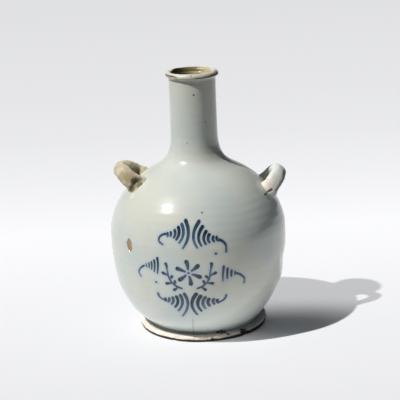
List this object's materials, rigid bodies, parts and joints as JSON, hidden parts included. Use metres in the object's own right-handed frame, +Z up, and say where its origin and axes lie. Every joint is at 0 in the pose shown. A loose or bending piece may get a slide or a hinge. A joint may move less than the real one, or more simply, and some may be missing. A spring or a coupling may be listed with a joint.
{
  "type": "pottery water jug",
  "caption": "Round-bellied water jug of tin-glazed earthenware, with a tall narrow neck, a rolled lip, a flanged foot and an upturned strap lug on either shoulder.",
  "frame": {"origin": "centre of the foot's underside, on the axis that the jug was thrown on", "axes": "+Z up along the jug's axis, -Y towards the painted front, +X towards the right lug"},
  "size_m": [0.1857, 0.1834, 0.27],
  "materials": {
    "tin_glaze": "glossy bluish-white tin glaze",
    "bare_clay": "bare cream-pink fired clay, matt",
    "stained_clay": "worn clay stained yellow-brown, matt",
    "cobalt_paint": "cobalt brush strokes sunk in the glaze"
  },
  "bodies": {
    "root": {"bowl": "tin_glaze", "shoulder": "tin_glaze", "neck": "tin_glaze", "lip": "tin_glaze", "foot_ring": "bare_clay", "floor": "bare_clay", "right_lug": "tin_glaze", "right_lug_front_wad": "bare_clay", "right_lug_back_wad": "bare_clay", "left_lug": "stained_clay", "left_lug_front_wad": "stained_clay", "left_lug_back_wad": "stained_clay"}
  },
  "joints": []
}
